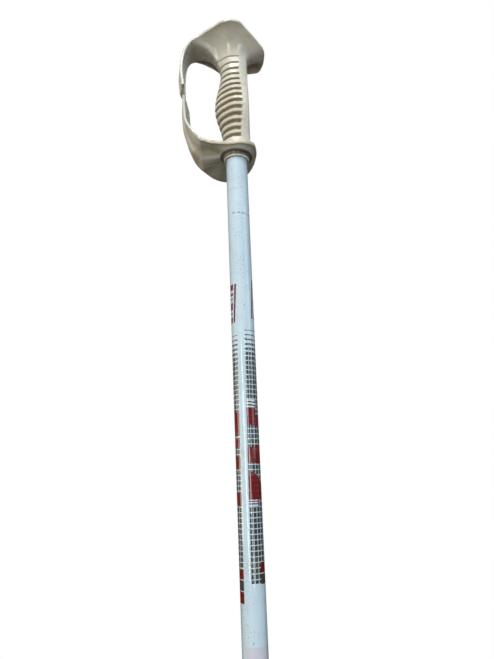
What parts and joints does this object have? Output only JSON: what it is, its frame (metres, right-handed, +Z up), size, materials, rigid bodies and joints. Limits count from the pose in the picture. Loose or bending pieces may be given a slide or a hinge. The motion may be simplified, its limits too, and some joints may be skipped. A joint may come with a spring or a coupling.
{
  "type": "ski pole",
  "caption": "Alpine ski pole with a strapless moulded grip, split finger guard, tapered tube, turning basket and steel tip.",
  "frame": {"origin": "on the shaft's axis at the lower end of the steel tip, where it meets the snow", "axes": "+Z up the shaft to the grip; -X towards the finger guard; +X palm side; +Y the far side, where the hood's skirt hangs"},
  "size_m": [0.0949, 0.092, 1.2001],
  "materials": {
    "grip_plastic": "cream moulded plastic, satin, worn at the rims",
    "shaft_paint": "gloss white lacquer with red and grey bands, scuffed",
    "plug_plastic": "moulded",
    "ferrule_plastic": "moulded, scratched",
    "basket_plastic": "moulded, scuffed",
    "washer_steel": "plain",
    "tip_steel": "ground, worn"
  },
  "bodies": {
    "pole": {"grip": "grip_plastic", "shaft": "shaft_paint", "shaft_plug": "plug_plastic", "ferrule": "ferrule_plastic", "basket_washer": "washer_steel", "tip": "tip_steel"},
    "upper_guard": {"upper_guard": "grip_plastic"},
    "lower_guard": {"lower_guard": "grip_plastic"},
    "basket": {"basket": "basket_plastic"}
  },
  "joints": [
    {"name": "upper_guard_flex", "type": "hinge", "parent": "pole", "child": "upper_guard", "pos_m": [-0.034, 0, 1.1821], "axis": [0, 1, 0], "range_deg": [0, 30], "stiffness_Nm_per_rad": 2.5},
    {"name": "lower_guard_flex", "type": "hinge", "parent": "pole", "child": "lower_guard", "pos_m": [-0.03, 0, 1.0684], "axis": [0, -1, 0], "range_deg": [0, 25], "stiffness_Nm_per_rad": 2.5},
    {"name": "basket_spin", "type": "hinge", "parent": "pole", "child": "basket", "pos_m": [0, 0, 0.059], "axis": [0, 0, 1], "continuous": true}
  ]
}
